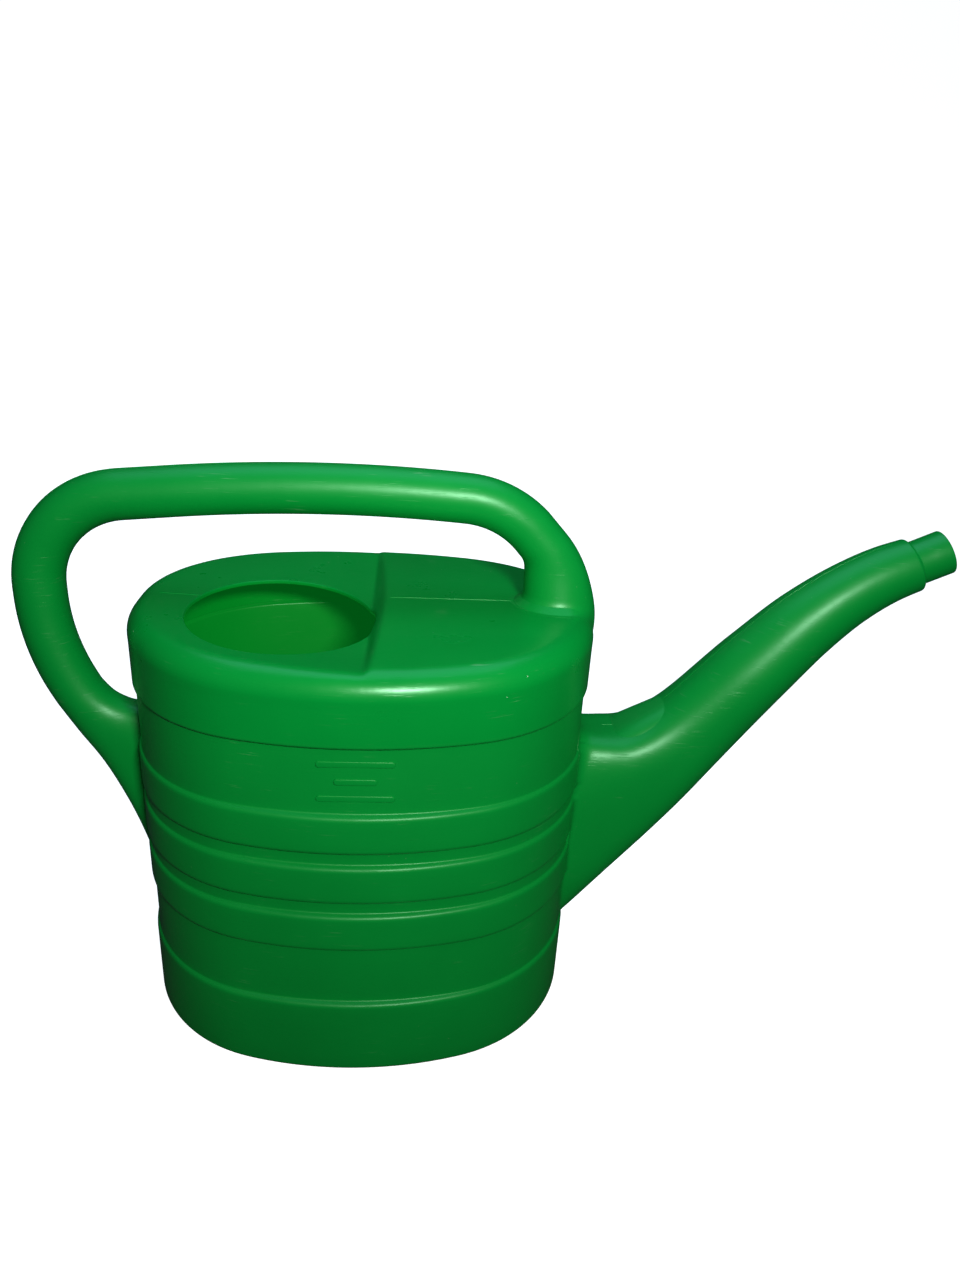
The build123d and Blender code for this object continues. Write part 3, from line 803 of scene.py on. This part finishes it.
rear_rows = [
    grip_rows[0],
    root_row(back, (-38.2, -85.8), (-17.5, -62.0), 14.1, 2.1),
    root_row(back, (-26.0, -104.3), (-9.5, -66.5), 14.3, 2.4),
    root_row(back, (-12.8, -131.8), (-1.0, -68.2), 14.7, 2.9),
    root_row(back, (8.0, -205.3), (14.0, -69.0), 15.2, 3.2),
]
front_rows = [
    grip_rows[-7],
    grip_rows[-5],
    root_row(front, (-14.1, 40.6), (-41.0, 27.2), 14.2),
    root_row(front, (-7.3, 30.0), (-40.2, 16.6), 14.8),
    root_row(front, (-1.8, 17.4), (-40.2, 7.0), 16.5),
    root_row(front, (2.2, 3.0), (-41.5, -0.5), 18.5),
    root_row(front, (3.0, -12.0), (-44.0, -12.0), 20.0),
    root_row(front, (-2.0, -30.0), (-46.0, -30.0), 20.0),
]
ROUND_POINTS = 96
rear_half = [cross_section(row, ROUND_POINTS) for row in through(rear_rows, 3 * MM)]
front_half = [cross_section(row, ROUND_POINTS) for row in through(front_rows, 2 * MM)]
grip = [cross_section(row, ROUND_POINTS) for row in grip_rows[1:-7]]
rear_skin = onto_skin(rear_half, 1.2 * MM, bend=4)
front_skin = onto_skin(front_half, 6.5 * MM)
handle = ring_mesh("handle_skin", [*rear_skin[::-1], *grip, *front_skin], grip_plastic)
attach(handle, "root")
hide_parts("handle")

# ---------------------------------------------------------------------------------------------
# Spout: tall and flat-sided where it leaves the tank, narrowing to a round pipe that climbs and
# then levels a little towards its rounded end. The root runs into the tank with a small radius.
# ---------------------------------------------------------------------------------------------
SPOUT_FOOT = 50.0 * MM
spout_far = np.array((HALF_LENGTH + 114.8 * MM, TANK_HEIGHT - 60.3 * MM))
NECK_RADIUS = 13.2 * MM
NECK_BORE = 11.0 * MM
TIP_RADIUS = 16.3 * MM
TIP_ANGLE = 25.0
TIP_ROUNDING = 2.0 * MM
tip = np.array((HALF_LENGTH + 188.3 * MM, TANK_HEIGHT + 33.7 * MM))
tip_heading = np.array((cos(radians(TIP_ANGLE)), sin(radians(TIP_ANGLE))))
spout_rows = []
for share, sag, reach, rise, half_width, squareness in (
    (-0.12, 0.0, -14.0, -74.5, 30.0, 4.0),
    (0.0, 0.0, 3.0, -75.6, 30.0, 4.0),
    (0.2, -0.8, 15.0, -76.0, 30.0, 4.0),
    (0.4, 0.2, 26.5, -75.0, 29.5, 3.6),
    (0.58, 1.8, 36.0, -70.2, 28.0, 3.0),
    (0.76, 1.6, 46.8, -61.5, 25.6, 2.5),
):
    under = np.array((HALF_LENGTH, SPOUT_FOOT)) * (1 - share) + spout_far * share
    spout_rows.append(
        (under[0], under[1] - sag * MM, front + reach * MM, shoulder + rise * MM, half_width * MM, squareness)
    )
for reach, rise, angle, radius in (
    (106.2, -31.9, 50.2, 23.8),
    (132.6, -2.9, 45.0, 21.0),
    (152.1, 13.7, 36.4, 18.9),
    (173.6, 27.2, 28.3, 17.2),
):
    spout_rows.append(round_row(front + reach * MM, shoulder + rise * MM, angle, radius * MM))
rounding_start = tip - tip_heading * TIP_ROUNDING
spout_rows.append(round_row(*rounding_start, TIP_ANGLE, TIP_RADIUS))
SPOUT_POINTS = 280
spout_half = [cross_section(row, SPOUT_POINTS) for row in through(spout_rows, 3 * MM)]
upper_side = np.maximum(0, np.sin(np.linspace(0, 2 * pi, SPOUT_POINTS, endpoint=False)))
spout_skin = onto_skin(spout_half[::-1], (3.0 + 6.0 * upper_side) * MM)[::-1]
for turn in np.linspace(0, pi / 2, 7)[1:]:
    place = rounding_start + tip_heading * TIP_ROUNDING * sin(turn)
    row = round_row(*place, TIP_ANGLE, TIP_RADIUS - TIP_ROUNDING * (1 - cos(turn)))
    spout_skin.append(cross_section(row, SPOUT_POINTS))
spout_skin.append(cross_section(round_row(*tip, TIP_ANGLE, NECK_BORE), SPOUT_POINTS))
for depth in (1.0, 6.0, 14.0, 26.0):
    place = tip - tip_heading * depth * MM
    spout_skin.append(cross_section(round_row(*place, TIP_ANGLE, NECK_BORE), SPOUT_POINTS))
spout = ring_mesh("spout_skin", spout_skin, grip_plastic)
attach(spout, "root")
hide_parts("spout")

# ---------------------------------------------------------------------------------------------
# Neck: the short plain pipe, blown and then trimmed, that a rose pushes onto. Its mouth is a
# slightly rounded cut.
# ---------------------------------------------------------------------------------------------
NECK_LENGTH = 19.5 * MM
NECK_LEAD = 0.8 * MM
neck_profile = [(0.0, NECK_BORE), (0.0, NECK_RADIUS + 0.5 * MM), (0.5 * MM, NECK_RADIUS + 0.1 * MM)]
neck_profile += [(1.2 * MM, NECK_RADIUS), (NECK_LENGTH / 2, NECK_RADIUS)]
for step in range(6):
    turn = pi / 2 * step / 5
    along = NECK_LENGTH - NECK_LEAD * (1 - sin(turn))
    neck_profile.append((along, NECK_RADIUS - NECK_LEAD * (1 - cos(turn))))
neck_profile += [(NECK_LENGTH, NECK_BORE + 0.3 * MM), (NECK_LENGTH - 0.3 * MM, NECK_BORE)]
neck_rings = []
for along, radius in neck_profile:
    place = tip + tip_heading * along
    neck_rings.append(cross_section(round_row(*place, TIP_ANGLE, radius), 96))
neck = ring_mesh("spout_neck_skin", neck_rings, grip_plastic, True)
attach(neck, "root")
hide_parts("spout_neck")

# ---------------------------------------------------------------------------------------------
# Parting line: where the two halves of the mould met, a fine raised line of flash is left along
# the middle of the deck, the outside of the rear web and the top of the spout.
# ---------------------------------------------------------------------------------------------
FLASH_RADIUS = 0.22 * MM


def flash_group():
    """Node group: a round bead swept along the edges of a mesh line."""
    group = bpy.data.node_groups.new("bead_along_a_line", "GeometryNodeTree")
    group.interface.new_socket(name="Line", in_out="INPUT", socket_type="NodeSocketGeometry")
    radius = group.interface.new_socket(name="Bead Radius", in_out="INPUT", socket_type="NodeSocketFloat")
    radius.default_value = FLASH_RADIUS
    group.interface.new_socket(name="Material", in_out="INPUT", socket_type="NodeSocketMaterial")
    group.interface.new_socket(name="Bead", in_out="OUTPUT", socket_type="NodeSocketGeometry")
    start = group.nodes.new("NodeGroupInput")
    end = group.nodes.new("NodeGroupOutput")
    curve = group.nodes.new("GeometryNodeMeshToCurve")
    circle = group.nodes.new("GeometryNodeCurvePrimitiveCircle")
    circle.inputs["Resolution"].default_value = 8
    sweep = group.nodes.new("GeometryNodeCurveToMesh")
    sweep.inputs["Fill Caps"].default_value = True
    realize = group.nodes.new("GeometryNodeRealizeInstances")
    paint = group.nodes.new("GeometryNodeSetMaterial")
    group.links.new(start.outputs["Line"], curve.inputs["Mesh"])
    group.links.new(start.outputs["Bead Radius"], circle.inputs["Radius"])
    group.links.new(curve.outputs["Curve"], sweep.inputs["Curve"])
    group.links.new(circle.outputs["Curve"], sweep.inputs["Profile Curve"])
    group.links.new(sweep.outputs["Mesh"], realize.inputs["Geometry"])
    group.links.new(realize.outputs["Geometry"], paint.inputs["Geometry"])
    group.links.new(start.outputs["Material"], paint.inputs["Material"])
    group.links.new(paint.outputs["Geometry"], end.inputs["Bead"])
    return group


def baked(piece, group, settings):
    """Run a node group on an object, keep the result as a plain mesh and drop the modifier."""
    modifier = piece.modifiers.new(group.name, "NODES")
    modifier.node_group = group
    for item in group.interface.items_tree:
        if item.in_out == "INPUT" and item.name in settings:
            modifier[item.identifier] = settings[item.name]
    bpy.context.view_layer.update()
    evaluated = piece.evaluated_get(bpy.context.evaluated_depsgraph_get())
    plain = bpy.data.meshes.new_from_object(evaluated)
    piece.modifiers.clear()
    piece.data = plain
    return piece


def line_object(name, points):
    """An object whose mesh is one open line."""
    mesh = bpy.data.meshes.new(name)
    edges = [(number, number + 1) for number in range(len(points) - 1)]
    mesh.from_pydata([tuple(point) for point in points], edges, [])
    piece = bpy.data.objects.new(name, mesh)
    scene.collection.objects.link(piece)
    return piece


def deck_line(start, stop, count):
    """Points along the middle of the deck between two x positions."""
    x = np.linspace(start, stop, count)
    return np.column_stack((x, np.zeros(count), deck_height(x, np.zeros(count))))


def crest_line(rings, column):
    """Points along one lengthwise strip of a run of rings."""
    return np.array([ring[column] for ring in rings])


flash = flash_group()
opening_left = OPENING[0] - OPENING_HALF[0] * sqrt(1 - (OPENING[1] / OPENING_HALF[1]) ** 2)
flash_lines = {
    "deck_flash_rear": deck_line(-HALF_LENGTH + 14 * MM, opening_left - 1 * MM, 40),
    "deck_flash_front": deck_line(14 * MM, HALF_LENGTH - 46 * MM, 60),
    "spout_flash": crest_line(spout_skin[14:-14], SPOUT_POINTS // 4),
    "rear_web_flash": crest_line(rear_skin[:-8][::-1] + grip[:70], ROUND_POINTS // 4),
}
for name, points in flash_lines.items():
    bead = baked(line_object(name, points), flash, {"Bead Radius": FLASH_RADIUS, "Material": cover_plastic})
    bead.data.shade_smooth()
    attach(bead, "root")

# ---------------------------------------------------------------------------------------------
# Level marks: three low rounded bars moulded on the front panel in the same plastic. They stand
# where the product has its capacity marking, which isn't copied.
# ---------------------------------------------------------------------------------------------
MARK_HEIGHT = 0.8 * MM
MARK_STROKE = 3.6 * MM
MARK_SPACING = 10.0 * MM
MARK_LENGTHS = (40.0 * MM, 22.0 * MM, 40.0 * MM)
middle_height = (PANEL_FOOT + TOP_BAND_FOOT) / 2


def bar_mesh_rings(length, height):
    """A low bar with rounded ends and edges, bent onto the front panel."""
    around = 64
    turns = np.linspace(0, 2 * pi, around, endpoint=False)
    rings = []
    for share, proud in ((1.0, -0.3), (1.0, 0.35), (0.96, 0.7), (0.86, 0.93), (0.7, 1.0)):
        radius = MARK_STROKE / 2 * share
        straight = length / 2 - MARK_STROKE / 2
        across = radius * np.cos(turns) + np.sign(np.cos(turns)) * straight
        tall = height + radius * np.sin(turns)
        offset = growth(tall) - RIB_DEPTH * fade(across) + MARK_HEIGHT * proud
        reach = np.sqrt((SIDE_RADIUS + offset) ** 2 - across**2)
        rings.append(np.column_stack((across, -(SIDE_Y + reach), tall)))
    return rings


for number, length in enumerate(MARK_LENGTHS):
    height = middle_height + (number - 1) * MARK_SPACING
    bar = ring_mesh(f"level_bar_{number}", bar_mesh_rings(length, height), tank_plastic)
    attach(bar, "root")
    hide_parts("level_marks")
